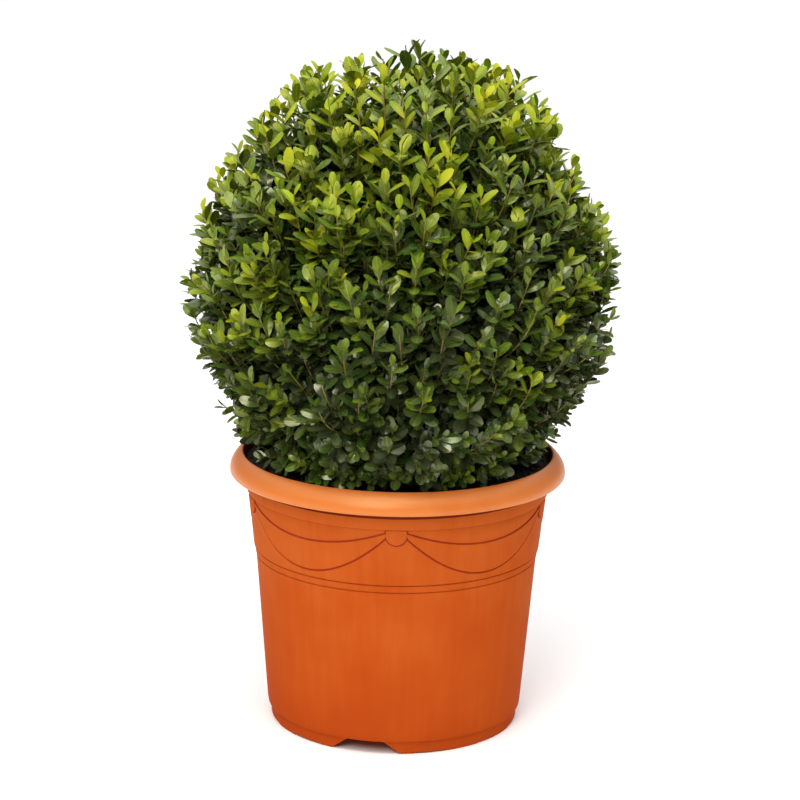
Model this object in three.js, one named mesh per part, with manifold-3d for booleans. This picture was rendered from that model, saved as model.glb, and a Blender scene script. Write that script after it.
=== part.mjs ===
// A box topiary ball in a terracotta-coloured plastic pot with moulded swags.
// Millimetres, +Z up. The origin is on the pot's axis, on the surface that the pot stands on, and -Y is the front.
// The pot holds a root ball of compost. A short trunk stands on it and forks into five side boughs and a leader,
// which rise through the bare middle of the ball. Each one carries a mass of foliage: a core, and leafy shoots that
// stand out of the core. The six masses together make the clipped ball.
import * as THREE from "three";
import { mergeVertices } from "three/addons/utils/BufferGeometryUtils.js";
import Module from "manifold-3d";

const wasm = await Module();
wasm.setup();

const DEG = Math.PI / 180;
const UP = new THREE.Vector3(0, 0, 1);
const GAP = 0.3; // between pieces that meet
const SEED = 20714;

// Pot
const POT_HEIGHT = 230;
const POT_WALL = 3;
const RIM_RADIUS = 140;
const RIM_MOUTH = 130.4;
const RIM_LIP_Z = 212.6;
const FOOT_RADIUS = 104.4;
const FOOT_Z = 1; // underside of the foot ring, above its pads
const FLOOR_Z = 11;
const BODY_BASE_RADIUS = 106.8;
const LINE_LOW_Z = 142.2; // the two fine lines under the swags
const LINE_HIGH_Z = 149;
const BODY_LINE_RADIUS = 117.5;
const COLLAR_Z = 196.8;
const COLLAR_RADIUS = 125.2;
const STEP = 0.7; // height of the moulded steps
const EDGE = 0.5; // half the width of a moulded edge
const SWAG_RAISE = 1.2;
const SWAG_END_HIGH = 194.8; // where a swag's upper and lower edges meet a boss
const SWAG_END_LOW = 189;
const SWAG_MID_HIGH = 181;
const SWAG_MID_LOW = 155;
const BOSS_ANGLES = [0, 74, 145, 215, 286];
const BOSS_HALF = 4.4; // half width of a boss, in degrees round the pot
const BOSS_RAISE = 2;
const BOSS_LOW = 184;
const NOTCH_ANGLES = [-12.7, 107.3, 227.3];
const NOTCH_TOP_HALF = 8.2;
const NOTCH_FOOT_HALF = 15.5;
const PADS_FROM_NOTCH = [[16.5, 22.5], [39, 55], [65, 81], [97.5, 103.5]];
const COLUMN_STEP = 9; // spacing of the pot's columns, in degrees

// Root ball
const SOIL_EDGE_Z = 221;
const SOIL_Z = 224;
const SOIL_FLAT_RADIUS = 26;

// Ball
const BALL_X = 2;
const BALL_Z = 371;
const BALL_RADIUS = 183;
const BALL_DEPTH = 193; // from the middle of the ball down to where the full oval would end
const TOP_REACH_Z = 567;
const CORE_RADIUS = 154;
const CORE_HEIGHT = 161; // from the middle of the ball to its top
const CORE_DEPTH = 172; // from the middle of the ball down to where the full oval would end
const CORE_LOWEST = -0.832; // share of that depth at the core's flat underside
const CORE_FULLNESS = 2.25; // power of the lower half's oval
const CORE_LUMP = 5;
const HOLLOW_RADIUS = 66;
const HOLLOW_TOP_Z = 418;
const SIDES = ["front", "front_right", "back_right", "back_left", "front_left"];
const SECTOR_HALF = 180 / SIDES.length;
const CAP_APEX_Z = 250;
const CAP_HALF_ANGLE = 27;

// Trunk and boughs
const FORK_Z = 266;
const BOUGH_ROOT_Z = [232, 240, 248, 236, 244];
const TRUNK_FOOT_RADIUS = 15;
const TRUNK_RADIUS = 8.6;
const TRUNK_LEAN = new THREE.Vector3(2.5, -1.5, 0);
const BOUGH_ROOT_RADIUS = 5.4;
const BOUGH_TIP_RADIUS = 3.8;
const BOUGH_TIP_Z = 322;
const STEM_REACH = 30;

// Shoots
const SITES = 222;
const TWIG_EVERY = 3; // one site in so many has a twig, and the others a pair of leaves
const TWIG_LENGTH = 13;
const TWIG_SINK = 9;
const TWIG_RADIUS = 3;
const TWIG_TIP_RADIUS = 2;
const LEAF_LENGTH = 29;
const LEAF_WIDTH = 16;
const LEAF_THICKNESS = 1.1;
const LOW_LEAF_LOSS = 0.25; // share of its size that a leaf at the very bottom lacks
const LEAF_CUP = 0.7; // how far the middle of a leaf stands off the plane of its edges
const LEAF_ROOT_OFFSET = 0.35; // from the middle of its twig
const PAIR_SINK = 5; // of a pair's roots in the core
const SITE_ROOM = 8; // between a shoot's root and the sides of its mass's space
const SPACE_MARGIN = 0.35;

const POT_COLOUR = { color: 0xc4501a, roughness: 0.5, metalness: 0 };
const SOIL_COLOUR = { color: 0x1d1611, roughness: 0.95, metalness: 0 };
const BARK_COLOUR = { color: 0x7a5c3c, roughness: 0.85, metalness: 0 };
const LEAF_COLOUR = { color: 0x3c6a1e, roughness: 0.42, metalness: 0 };
const NEW_LEAF_COLOUR = { color: 0x6f9a2a, roughness: 0.42, metalness: 0 };

// A seeded source of numbers from 0 to 1.
function seeded(seed) {
  let state = seed >>> 0;
  return () => {
    state = (state + 0x6d2b79f5) >>> 0;
    let t = Math.imul(state ^ (state >>> 15), state | 1);
    t ^= t + Math.imul(t ^ (t >>> 7), t | 61);
    return ((t ^ (t >>> 14)) >>> 0) / 4294967296;
  };
}

// A closed solid from vertices and triangles, turned to face out.
function solidFrom(points, triangles) {
  const position = new Float32Array(points.flatMap((p) => [p.x, p.y, p.z]));
  let geometry = new THREE.BufferGeometry();
  geometry.setAttribute("position", new THREE.BufferAttribute(position, 3));
  geometry.setIndex(triangles.flat());
  geometry = mergeVertices(geometry, 1e-4);
  const made = solidOf(geometry);
  if (made.volume() > 0) return made;
  return solidFrom(points, triangles.map(([a, b, c]) => [a, c, b]));
}

function solidOf(geometry) {
  const kept = geometry.clone();
  kept.deleteAttribute("normal");
  kept.deleteAttribute("uv");
  const merged = mergeVertices(kept, 1e-3);
  return new wasm.Manifold(new wasm.Mesh({
    numProp: 3,
    vertProperties: merged.attributes.position.array,
    triVerts: new Uint32Array(merged.index.array),
  }));
}

function geometryOf(solid) {
  const mesh = solid.getMesh();
  const geometry = new THREE.BufferGeometry();
  const position = new Float32Array(mesh.numVert * 3);
  for (let i = 0; i < mesh.numVert; i++) {
    const from = i * mesh.numProp;
    position.set(mesh.vertProperties.subarray(from, from + 3), i * 3);
  }
  geometry.setAttribute("position", new THREE.BufferAttribute(position, 3));
  geometry.setIndex(new THREE.BufferAttribute(mesh.triVerts, 1));
  geometry.computeVertexNormals();
  return geometry;
}

// A closed solid through rings of equal size, with a point in the middle of each end.
function loft(rings) {
  const size = rings[0].length;
  const points = rings.flat();
  const triangles = [];
  for (let i = 0; i + 1 < rings.length; i++) {
    for (let j = 0; j < size; j++) {
      const a = i * size + j;
      const b = i * size + ((j + 1) % size);
      triangles.push([a, b, b + size], [a, b + size, a + size]);
    }
  }
  for (const [ring, inward] of [[0, true], [rings.length - 1, false]]) {
    const middle = new THREE.Vector3();
    rings[ring].forEach((p) => middle.addScaledVector(p, 1 / size));
    points.push(middle);
    for (let j = 0; j < size; j++) {
      const a = ring * size + j;
      const b = ring * size + ((j + 1) % size);
      triangles.push(inward ? [b, a, points.length - 1] : [a, b, points.length - 1]);
    }
  }
  return solidFrom(points, triangles);
}

function onPot(angle, radius, z) {
  return new THREE.Vector3(radius * Math.sin(angle * DEG), -radius * Math.cos(angle * DEG), z);
}

// A turned solid from (radius, z) pairs that start and end near the axis.
function turned(profile, columns) {
  return loft(profile.map(([radius, z]) => columns.map((angle) => onPot(angle, radius, z))));
}

function evenColumns(count) {
  return Array.from({ length: count }, (_, i) => (360 * i) / count);
}

function degreesBetween(a, b) {
  return ((a - b + 540) % 360) - 180;
}

// Pot

// The pot's plain outer radius at a height, without the moulded relief.
function potRadius(z) {
  const line = [
    [FOOT_Z, FOOT_RADIUS - 0.4],
    [FLOOR_Z, FOOT_RADIUS],
    [FLOOR_Z + 0.6, BODY_BASE_RADIUS],
    [LINE_LOW_Z, BODY_LINE_RADIUS],
    [LINE_HIGH_Z, BODY_LINE_RADIUS + 1.2],
    [165, 120.4],
    [180, 122.2],
    [COLLAR_Z, 124.2],
    [RIM_LIP_Z, COLLAR_RADIUS + 1.8],
  ];
  const next = Math.max(1, line.findIndex(([at]) => at >= z));
  const [z0, r0] = line[next - 1];
  const [z1, r1] = line[next];
  return r0 + ((r1 - r0) * (z - z0)) / (z1 - z0);
}

// The swag or boss that covers an angle: the heights of its lower and upper edges, and how far it stands out.
function ornamentAt(angle) {
  for (let i = 0; i < BOSS_ANGLES.length; i++) {
    const from = BOSS_ANGLES[i];
    const span = (BOSS_ANGLES[(i + 1) % BOSS_ANGLES.length] - from + 360) % 360;
    const ahead = (angle - from + 360) % 360;
    const off = Math.abs(degreesBetween(angle, from));
    if (off < BOSS_HALF - 0.01) {
      const round = Math.sqrt(1 - (off / BOSS_HALF) ** 2);
      return { low: SWAG_END_LOW - round * (SWAG_END_LOW - BOSS_LOW), high: SWAG_END_HIGH, raise: BOSS_RAISE };
    }
    if (ahead <= span - BOSS_HALF + 0.01) {
      const half = span / 2 - BOSS_HALF;
      const sag = 1 - ((ahead - span / 2) / half) ** 2;
      return {
        low: SWAG_END_LOW - sag * (SWAG_END_LOW - SWAG_MID_LOW),
        high: SWAG_END_HIGH - sag * (SWAG_END_HIGH - SWAG_MID_HIGH),
        raise: SWAG_RAISE,
      };
    }
  }
  throw new Error("no ornament at " + angle);
}

// The height of the foot ring's underside, which the drainage notches lift.
function footAt(angle) {
  const off = Math.min(...NOTCH_ANGLES.map((at) => Math.abs(degreesBetween(angle, at))));
  const share = (NOTCH_FOOT_HALF - off) / (NOTCH_FOOT_HALF - NOTCH_TOP_HALF);
  return FOOT_Z + (FLOOR_Z - 0.5 - FOOT_Z) * Math.min(1, Math.max(0, share));
}

// The pot's section at an angle, as (radius, z) pairs from under the floor, up the outside and down the inside.
function potSection(angle) {
  const { low, high, raise } = ornamentAt(angle);
  const foot = footAt(angle);
  return [
    [FOOT_RADIUS - POT_WALL - 0.8, FLOOR_Z],
    [FOOT_RADIUS - POT_WALL - 0.8, foot],
    [FOOT_RADIUS - 0.4, foot],
    [FOOT_RADIUS, FLOOR_Z],
    [BODY_BASE_RADIUS, FLOOR_Z + 0.6],
    [potRadius(LINE_LOW_Z), LINE_LOW_Z],
    [potRadius(LINE_LOW_Z) + STEP, LINE_LOW_Z + EDGE],
    [potRadius(LINE_HIGH_Z) - 0.2, LINE_HIGH_Z],
    [potRadius(LINE_HIGH_Z) + STEP, LINE_HIGH_Z + EDGE],
    [potRadius(low - EDGE) + 0.1, low - EDGE],
    [potRadius(low + EDGE) + raise, low + EDGE],
    [potRadius(high - EDGE) + raise, high - EDGE],
    [potRadius(high) + 0.1, high + EDGE / 2],
    [COLLAR_RADIUS, COLLAR_Z + EDGE],
    [COLLAR_RADIUS + 2.4, POT_HEIGHT - 7],
    [RIM_RADIUS - 4.4, POT_HEIGHT - 8],
    [RIM_RADIUS - 2.8, RIM_LIP_Z],
    [RIM_RADIUS - 0.5, RIM_LIP_Z],
    [RIM_RADIUS, RIM_LIP_Z + 3],
    [RIM_RADIUS - 0.9, RIM_LIP_Z + 7.5],
    [RIM_RADIUS - 3.3, POT_HEIGHT - 4],
    [RIM_MOUTH + 1.4, POT_HEIGHT],
    [RIM_MOUTH, POT_HEIGHT - 1],
    [COLLAR_RADIUS - 1.2, RIM_LIP_Z],
    [potRadius(LINE_HIGH_Z) - POT_WALL, LINE_HIGH_Z],
    [BODY_BASE_RADIUS - POT_WALL, FLOOR_Z + POT_WALL],
  ];
}

// Columns at even steps, with one on each edge of a boss or notch.
function potColumns() {
  const keys = [
    ...BOSS_ANGLES.flatMap((at) => [-1, -0.7, 0.7, 1].map((share) => at + share * BOSS_HALF)),
    ...NOTCH_ANGLES.flatMap((at) =>
      [-NOTCH_FOOT_HALF, -NOTCH_TOP_HALF, NOTCH_TOP_HALF, NOTCH_FOOT_HALF].map((off) => at + off)),
  ].map((angle) => (angle + 360) % 360);
  const near = (angle) => keys.some((key) => Math.abs(degreesBetween(angle, key)) < COLUMN_STEP * 0.4);
  const even = evenColumns(360 / COLUMN_STEP).filter((angle) => !near(angle));
  const sorted = [...keys, ...even].sort((a, b) => a - b);
  return sorted.filter((angle, i) => i === 0 || angle - sorted[i - 1] > 1);
}

function footPad(from, to) {
  const inner = FOOT_RADIUS - POT_WALL;
  const outer = FOOT_RADIUS - 0.7;
  const angles = [from, (from + to) / 2, to];
  const rings = [0, FOOT_Z + 1.5].map((z) => [
    ...angles.map((angle) => onPot(angle, outer, z)),
    ...[...angles].reverse().map((angle) => onPot(angle, inner, z)),
  ]);
  return loft(rings);
}

function makePot(columns) {
  const sections = columns.map(potSection);
  const rings = sections[0].map((_, row) =>
    columns.map((angle, i) => onPot(angle, sections[i][row][0], sections[i][row][1])));
  const pads = NOTCH_ANGLES.flatMap((at) => PADS_FROM_NOTCH.map(([from, to]) => footPad(at + from, at + to)));
  return wasm.Manifold.union([loft(rings), ...pads]);
}

// Root ball

function makeRootBall(columns) {
  const inside = (z) => {
    const low = [BODY_BASE_RADIUS - POT_WALL, FLOOR_Z + POT_WALL];
    const line = [potRadius(LINE_HIGH_Z) - POT_WALL, LINE_HIGH_Z];
    const neck = [COLLAR_RADIUS - 1.2, RIM_LIP_Z];
    const mouth = [RIM_MOUTH, POT_HEIGHT - 1];
    const [from, to] = z < LINE_HIGH_Z ? [low, line] : z < RIM_LIP_Z ? [line, neck] : [neck, mouth];
    return from[0] + ((to[0] - from[0]) * (z - from[1])) / (to[1] - from[1]);
  };
  const wall = [FLOOR_Z + POT_WALL + GAP, LINE_HIGH_Z, RIM_LIP_Z, SOIL_EDGE_Z].map((z) => [inside(z) - GAP, z]);
  const surface = [[84, SOIL_EDGE_Z + 1.2], [SOIL_FLAT_RADIUS, SOIL_Z]];
  return turned([...wall, ...surface], columns.filter((_, i) => i % 2 === 0));
}

// Limbs

// A limb along a curve, round in section, whose radius goes by a rule of the share of its length.
function limb(curve, radiusAt, steps, sides) {
  const across = curve.computeFrenetFrames(steps, false);
  const rings = [];
  for (let i = 0; i <= steps; i++) {
    const share = i / steps;
    const at = curve.getPointAt(share);
    const flat = i === 0 && curve.startsFlat;
    const u = flat ? new THREE.Vector3(1, 0, 0) : across.normals[i];
    const v = flat ? new THREE.Vector3(0, 1, 0) : across.binormals[i];
    rings.push(Array.from({ length: sides }, (_, j) => {
      const turn = (2 * Math.PI * j) / sides;
      const radius = radiusAt(share);
      return at.clone().addScaledVector(u, radius * Math.cos(turn)).addScaledVector(v, radius * Math.sin(turn));
    }));
  }
  return loft(rings);
}

// The trunk's rings lie level, so its foot is a flat cut on the root ball and its tip a flat seat for the leader.
function trunkAt(share, grow = 0) {
  const flare = (1 - share) ** 4;
  const middle = TRUNK_LEAN.clone().multiplyScalar(share);
  middle.z = SOIL_Z + (FORK_Z - SOIL_Z) * share;
  const radius = TRUNK_RADIUS + (TRUNK_FOOT_RADIUS - TRUNK_RADIUS) * flare - share;
  return evenColumns(15).map((turn) => {
    const lobe = 1 + 0.16 * flare * Math.cos(5 * turn * DEG);
    return middle.clone().add(onPot(turn, radius * lobe + grow, 0));
  });
}

function makeTrunk(grow = 0) {
  return loft([0, 0.12, 0.28, 0.5, 0.75, 1].map((share) => trunkAt(share, grow)));
}

function sectorAngle(index) {
  return (360 * index) / SIDES.length;
}

// A side bough leaves the trunk below its tip and steepens on its way to the wall of the hollow.
function boughCurve(index) {
  const angle = sectorAngle(index);
  const root = TRUNK_LEAN.clone().multiplyScalar(0.6).setZ(BOUGH_ROOT_Z[index]);
  return new THREE.QuadraticBezierCurve3(root, onPot(angle, 28, root.z + 34), boughTip(index));
}

function boughTip(index) {
  return onPot(sectorAngle(index) + 4 * Math.sin(index * 2.4), HOLLOW_RADIUS - 10, BOUGH_TIP_Z + 9 * Math.sin(index * 1.7));
}

function leaderCurve() {
  const foot = TRUNK_LEAN.clone().setZ(FORK_Z + GAP);
  const tip = new THREE.Vector3(-1.5, 2, HOLLOW_TOP_Z - 12);
  return new THREE.CatmullRomCurve3([
    foot,
    foot.clone().add(new THREE.Vector3(0, 0, 14)),
    new THREE.Vector3(5, -3, (FORK_Z + HOLLOW_TOP_Z) / 2),
    tip.clone().add(new THREE.Vector3(0, 0, -16)),
    tip,
  ]);
}

function taper(root, tip) {
  return (share) => root + (tip - root) * share;
}

function makeBough(index) {
  const whole = limb(boughCurve(index), taper(BOUGH_ROOT_RADIUS, BOUGH_TIP_RADIUS), 5, 7);
  return largest(whole.subtract(makeTrunk(GAP)));
}

function makeLeader() {
  const curve = leaderCurve();
  curve.startsFlat = true;
  return limb(curve, taper(BOUGH_ROOT_RADIUS, BOUGH_TIP_RADIUS), 6, 7);
}

// The stem of a mass goes on from its bough's tip, past a small gap, into the core.
function makeStem(curve) {
  const along = curve.getTangentAt(1);
  const start = curve.getPointAt(1).addScaledVector(along, GAP);
  const stem = new THREE.LineCurve3(start, start.clone().addScaledVector(along, STEM_REACH));
  return limb(stem, taper(BOUGH_TIP_RADIUS, BOUGH_TIP_RADIUS * 0.8), 1, 7);
}

// Spaces and cores

// The point of the ball at an angle, a radius from the ball's own upright axis and a height.
function onBall(angle, radius, z) {
  return onPot(angle, radius, z).setX(radius * Math.sin(angle * DEG) + BALL_X);
}

// The core's radius and height at a level from -1 at the bottom of its oval to 1 at its top. Its lower half is fuller
// than an ellipse, so that the foliage fills the mouth of the pot.
function coreAt(level) {
  const height = level < 0 ? CORE_DEPTH : CORE_HEIGHT;
  const power = level < 0 ? CORE_FULLNESS : 2;
  return [CORE_RADIUS * (1 - Math.abs(level) ** power) ** (1 / power), BALL_Z + height * level];
}

function makeWholeCore() {
  const random = seeded(SEED);
  const lowest = Math.asin(CORE_LOWEST);
  const highest = 80 * DEG;
  const rows = 11;
  const columns = evenColumns(25);
  const rings = Array.from({ length: rows + 1 }, (_, row) => {
    const [radius, z] = coreAt(Math.sin(lowest + ((highest - lowest) * row) / rows));
    return columns.map((angle) => onBall(angle, radius + CORE_LUMP * (random() - 0.5) * 2, z));
  });
  const hollow = turned(
    [[HOLLOW_RADIUS - 6, SOIL_Z - 20], [HOLLOW_RADIUS, 290], [HOLLOW_RADIUS, 350], [30, HOLLOW_TOP_Z]],
    evenColumns(15),
  );
  return loft(rings).subtract(hollow);
}

// The cone that parts the cap on top from the five sides. Its flats touch the true cone from outside or its corners
// touch it from inside, so that what stands off the true cone stands off the cut faces too.
function capCone(outside) {
  const sides = 36;
  const height = 420;
  const apex = CAP_APEX_Z + (outside ? -GAP : GAP) / 2 / Math.sin(CAP_HALF_ANGLE * DEG);
  const radius = (height * Math.tan(CAP_HALF_ANGLE * DEG)) / (outside ? Math.cos(Math.PI / sides) : 1);
  return turned([[0.01, apex], [radius, apex + height]], evenColumns(sides));
}

// How far a point lies outside the cone.
function offCone(p) {
  const slope = CAP_HALF_ANGLE * DEG;
  return Math.hypot(p.x, p.y) * Math.cos(slope) - (p.z - CAP_APEX_Z) * Math.sin(slope);
}

function sectorWedge(index) {
  const half = SECTOR_HALF * DEG;
  const apex = GAP / 2 / Math.sin(half);
  const shape = new THREE.Shape([
    new THREE.Vector2(apex, 0),
    new THREE.Vector2(400, -(400 - apex) * Math.tan(half)),
    new THREE.Vector2(400, (400 - apex) * Math.tan(half)),
  ]);
  const geometry = new THREE.ExtrudeGeometry(shape, { depth: 600, bevelEnabled: false });
  geometry.applyMatrix4(new THREE.Matrix4().makeRotationZ(sectorAngle(index) * DEG - Math.PI / 2));
  return solidOf(geometry);
}

// How far a point lies inside the space of a mass; index -1 is the cap on top.
function depthInSpace(p, index) {
  const radius = Math.hypot(p.x, p.y);
  const toCone = offCone(p);
  const reach = p.z > BALL_Z ? TOP_REACH_Z - BALL_Z : BALL_DEPTH;
  const out = Math.hypot((p.x - BALL_X) / BALL_RADIUS, p.y / BALL_RADIUS, (p.z - BALL_Z) / reach);
  const inBall = (1 - out) * BALL_RADIUS;
  const overSoil = p.z - SOIL_Z - 2;
  const offRim = Math.max(p.z - POT_HEIGHT - 3, RIM_MOUTH - 6 - radius);
  if (index < 0) return Math.min(-toCone, inBall);
  const turn = Math.abs(degreesBetween(Math.atan2(p.x, -p.y) / DEG, sectorAngle(index))) * DEG;
  const toSide = radius * Math.sin(SECTOR_HALF * DEG - turn);
  return Math.min(toSide, toCone, inBall, overSoil, offRim);
}

// Shoots

function fits(points, index) {
  return points.every((p) => depthInSpace(p, index) > SPACE_MARGIN);
}

// A leaf's six corners: root, tip, two sides, and the top and underside of its middle.
function leafCorners(root, along, across, length, width) {
  const face = new THREE.Vector3().crossVectors(along, across).normalize();
  const middle = root.clone().addScaledVector(along, length * 0.55);
  return [
    root,
    root.clone().addScaledVector(along, length),
    middle.clone().addScaledVector(across, width / 2),
    middle.clone().addScaledVector(across, -width / 2),
    middle.clone().addScaledVector(face, LEAF_CUP + LEAF_THICKNESS / 2),
    middle.clone().addScaledVector(face, LEAF_CUP - LEAF_THICKNESS / 2),
  ];
}

function makeLeaf(corners) {
  const upper = [[0, 2, 4], [2, 1, 4], [1, 3, 4], [3, 0, 4]];
  const lower = [[2, 0, 5], [1, 2, 5], [3, 1, 5], [0, 3, 5]];
  return solidFrom(corners, [...upper, ...lower]);
}

// A leaf that opens from a stalk's direction by an angle. If it would leave its space it is held closer to the
// stalk, and if that isn't enough it is skipped.
function growLeaves(root, along, out, open, length, width, index) {
  const across = new THREE.Vector3().crossVectors(along, out).normalize();
  for (const closed of [0, 14, 28]) {
    const spread = Math.max(6, open - closed) * DEG;
    const lie = along.clone().multiplyScalar(Math.cos(spread)).addScaledVector(out, Math.sin(spread));
    const corners = leafCorners(root, lie, across, length, width);
    const edges = [corners[2], corners[3]].map((side) => side.clone().lerp(corners[1], 0.5));
    if (fits([...corners.slice(1), ...edges], index)) return [makeLeaf(corners)];
  }
  return [];
}

// A ring of three corners round a direction.
function twigRing(at, along, radius) {
  const level = Math.abs(along.z) < 0.9 ? UP : new THREE.Vector3(1, 0, 0);
  const side = new THREE.Vector3().crossVectors(along, level).normalize();
  return [0, 120, 240].map((turn) =>
    at.clone().addScaledVector(side.clone().applyAxisAngle(along, turn * DEG), radius));
}

// A direction square to a stalk, turned round it from level.
function outFrom(along, turn) {
  return twigRing(new THREE.Vector3(), along, 1)[0].applyAxisAngle(along, turn * DEG).normalize();
}

// A three-sided twig with one pair of opposite leaves part of the way up and a smaller pair, a quarter turn round, at
// its tip.
function growTwig(root, along, scale, index, random) {
  const length = TWIG_LENGTH * (0.85 + 0.3 * random());
  const tip = root.clone().addScaledVector(along, length);
  const foot = root.clone().addScaledVector(along, -TWIG_SINK);
  const rings = [twigRing(foot, along, TWIG_RADIUS), twigRing(tip, along, TWIG_TIP_RADIUS)];
  if (!fits(rings.flat(), index)) return [];
  const turn = random() * 180;
  const pairs = [
    { share: 0.3, turn, open: 58, size: 1 },
    { share: 0.9, turn: turn + 90, open: 26, size: 0.85 },
  ];
  const leaves = pairs.flatMap((pair) => [0, 180].flatMap((half) => {
    const out = outFrom(along, pair.turn + half + 12 * (random() - 0.5));
    const at = root.clone().addScaledVector(along, length * pair.share).addScaledVector(out, LEAF_ROOT_OFFSET);
    const size = scale * pair.size * (0.9 + 0.2 * random());
    return growLeaves(at, along, out, pair.open, LEAF_LENGTH * size, LEAF_WIDTH * size, index);
  }));
  return leaves.length ? [loft(rings), ...leaves] : [];
}

// A pair of leaves that stands straight out of the core.
function growPair(root, along, scale, index, random) {
  const turn = random() * 180;
  return [0, 180].flatMap((half) => {
    const out = outFrom(along, turn + half + 20 * (random() - 0.5));
    const at = root.clone().addScaledVector(along, -PAIR_SINK).addScaledVector(out, 1.5);
    const size = scale * (0.85 + 0.3 * random());
    return growLeaves(at, along, out, 24 + 14 * random(), PAIR_SINK + LEAF_LENGTH * size, LEAF_WIDTH * size, index);
  });
}

// Where shoot number i stands: the golden angle spreads the shoots evenly over the ball.
function shootSite(i) {
  const highest = 0.98;
  const lowest = CORE_LOWEST + 0.03;
  const level = highest - ((highest - lowest) * (i + 0.5)) / SITES;
  const turn = i * 137.508;
  const [radius, z] = coreAt(level);
  return { at: onBall(turn, radius, z), normal: onPot(turn, Math.sqrt(1 - level * level), level), level };
}

// Shoots lean from the face of the ball towards the light, the more so under its middle.
function shootDirection({ normal, level }, random) {
  const lean = 0.4 + 0.3 * random() + Math.max(0, -level);
  const wander = new THREE.Vector3(random() - 0.5, random() - 0.5, random() - 0.5).multiplyScalar(0.35);
  return normal.clone().addScaledVector(UP, lean).add(wander).normalize();
}

// A site, moved inwards if it is near a side of its mass's space, so that the shoot has room.
function withRoom(site, index) {
  const radius = Math.hypot(site.at.x, site.at.y);
  const angle = Math.atan2(site.at.x, -site.at.y) / DEG;
  const off = offCone(site.at);
  const shift = index < 0 ? Math.min(0, -SITE_ROOM - off) : Math.max(0, SITE_ROOM - off);
  const moved = {
    radius: radius + shift * Math.cos(CAP_HALF_ANGLE * DEG),
    z: site.at.z - shift * Math.sin(CAP_HALF_ANGLE * DEG),
  };
  if (index < 0) return onPot(angle, moved.radius, moved.z);
  const centre = sectorAngle(index);
  const most = SECTOR_HALF - Math.asin(SITE_ROOM / moved.radius) / DEG;
  const turn = Math.min(most, Math.max(-most, degreesBetween(angle, centre)));
  return onPot(centre + turn, moved.radius, moved.z);
}

function growShoots(index, random) {
  const grown = [];
  for (let i = 0; i < SITES; i++) {
    const site = shootSite(i);
    const cap = offCone(site.at) < 0;
    const turn = degreesBetween(Math.atan2(site.at.x, -site.at.y) / DEG, sectorAngle(Math.max(0, index)));
    if (cap !== index < 0 || (!cap && Math.abs(turn) > SECTOR_HALF)) continue;
    const root = withRoom(site, index);
    const along = shootDirection(site, random);
    const scale = 1 - LOW_LEAF_LOSS * Math.max(0, -site.level);
    const grow = i % TWIG_EVERY ? growPair : growTwig;
    grown.push(...grow(root, along, scale, index, random));
  }
  return grown;
}

// The largest closed piece of a solid; a loose scrap is dropped.
function largest(solid) {
  return solid.decompose().sort((a, b) => b.volume() - a.volume())[0];
}

function makeMass(index, wholeCore) {
  const random = seeded(SEED + index * 977);
  const curve = index < 0 ? leaderCurve() : boughCurve(index);
  const core = index < 0
    ? wholeCore.intersect(capCone(false))
    : wholeCore.intersect(sectorWedge(index)).subtract(capCone(true));
  const fused = wasm.Manifold.union([core, makeStem(curve), ...growShoots(index, random)]);
  return largest(solidOf(geometryOf(fused)));
}

// Assembly

function meshOf(name, solid, look) {
  const mesh = new THREE.Mesh(geometryOf(solid), new THREE.MeshStandardMaterial(look));
  mesh.name = name;
  return mesh;
}

const boxBall = new THREE.Group();
const columns = potColumns();
boxBall.add(meshOf("pot", makePot(columns), POT_COLOUR));
boxBall.add(meshOf("root_ball", makeRootBall(columns), SOIL_COLOUR));
boxBall.add(meshOf("trunk", makeTrunk(), BARK_COLOUR));
boxBall.add(meshOf("leader", makeLeader(), BARK_COLOUR));
const wholeCore = makeWholeCore();
SIDES.forEach((side, index) => {
  boxBall.add(meshOf("bough_" + side, makeBough(index), BARK_COLOUR));
  boxBall.add(meshOf("foliage_" + side, makeMass(index, wholeCore), LEAF_COLOUR));
});
boxBall.add(meshOf("foliage_top", makeMass(-1, wholeCore), NEW_LEAF_COLOUR));

export default boxBall;
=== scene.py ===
"""A clipped ball of box in a terracotta-coloured plastic pot with moulded swags.

Metres, +Z up, front towards -Y. Angles round the pot are in degrees from the front, growing to the right.
"""
import math

import bpy
import numpy as np
from mathutils import Matrix, Vector, noise


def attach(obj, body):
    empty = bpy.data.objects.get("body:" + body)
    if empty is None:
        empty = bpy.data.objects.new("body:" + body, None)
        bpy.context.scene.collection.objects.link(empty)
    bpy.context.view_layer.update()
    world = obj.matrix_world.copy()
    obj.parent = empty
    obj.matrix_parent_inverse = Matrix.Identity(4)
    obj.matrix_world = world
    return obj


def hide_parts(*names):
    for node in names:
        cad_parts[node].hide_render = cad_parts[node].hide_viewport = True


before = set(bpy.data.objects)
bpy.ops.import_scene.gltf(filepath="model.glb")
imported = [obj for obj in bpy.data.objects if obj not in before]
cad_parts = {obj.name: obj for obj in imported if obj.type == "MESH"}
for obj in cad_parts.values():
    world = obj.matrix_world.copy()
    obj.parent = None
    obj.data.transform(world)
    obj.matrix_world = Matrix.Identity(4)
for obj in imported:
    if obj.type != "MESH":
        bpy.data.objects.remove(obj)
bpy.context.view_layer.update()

MM = 0.001
UP = np.array([0.0, 0.0, 1.0])
GOLDEN = math.radians(137.508)
SEED = 20714

# Camera
CAMERA_DISTANCE = 2200 * MM
CAMERA_ELEVATION = math.radians(14)
CAMERA_AIM = (1 * MM, 0.0, 272.5 * MM)
CAMERA_ROLL = math.radians(1.0)
CAMERA_LENS = 119.2
SENSOR_WIDTH = 36

# Floor and light
FLOOR_HALF = 30.0
WORLD_STRENGTH = 0.25
PLANT_MIDDLE = (0, 0, 0.3)
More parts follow.
